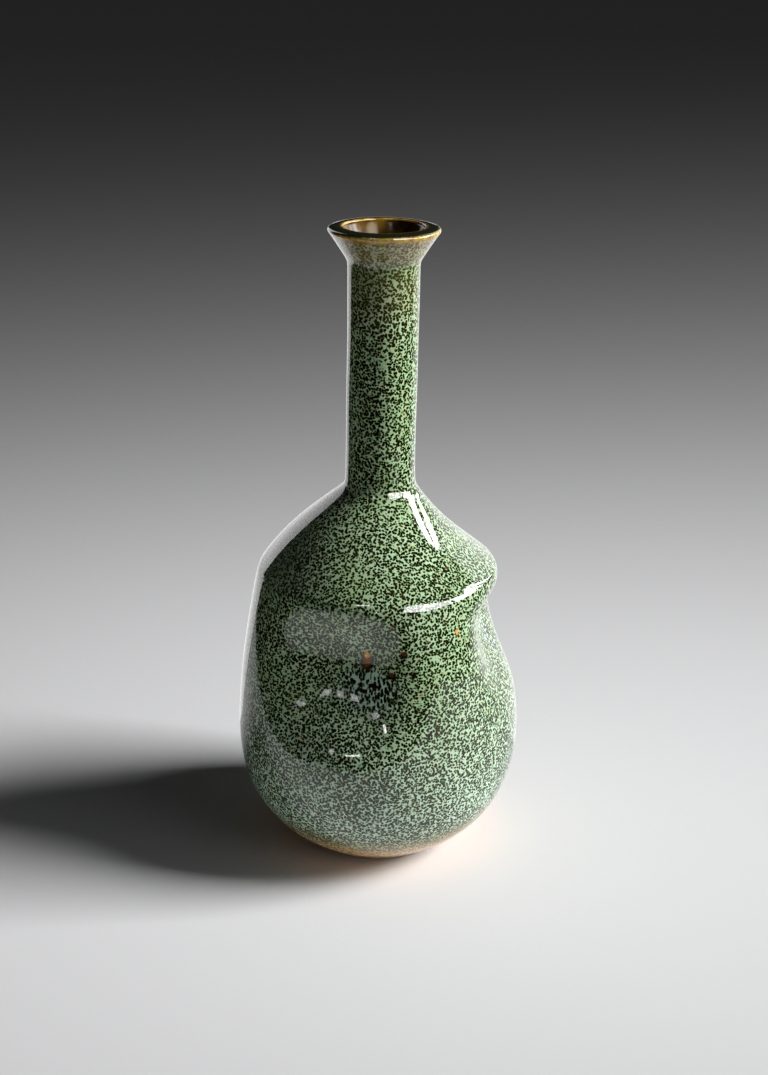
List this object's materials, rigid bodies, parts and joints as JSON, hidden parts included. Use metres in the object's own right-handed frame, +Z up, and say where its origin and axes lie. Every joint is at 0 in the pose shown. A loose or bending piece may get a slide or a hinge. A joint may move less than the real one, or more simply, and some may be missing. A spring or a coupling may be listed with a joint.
{
  "type": "sake bottle",
  "caption": "Crane-necked stoneware sake bottle with a dented round belly, a crisp shoulder ridge, a long slim neck, a flared mouth and a speckled green and brown glaze.",
  "frame": {"origin": "middle of the foot, on the surface that the bottle stands on", "axes": "+Z up along the belly's axis, -Y towards the front, +X to the right, the side that the neck leans to"},
  "size_m": [0.1128, 0.1128, 0.2506],
  "materials": {
    "bare_clay": "unglazed fired stoneware, matt",
    "clay": "unglazed fired stoneware, matt",
    "slip": "fired clay slip, matt",
    "outer_glaze": "thick glossy glaze, mint green speckled with dark brown, amber where thin",
    "inner_glaze": "glossy amber-brown glaze"
  },
  "bodies": {
    "root": {"foot_ring": "bare_clay", "foot_slip": "slip", "belly": "clay", "shoulder_slip": "slip", "shoulder": "clay", "neck_slip": "slip", "neck": "clay", "mouth_slip": "slip", "mouth_flare": "clay", "outer_glaze": "outer_glaze", "inner_glaze": "inner_glaze"}
  },
  "joints": []
}
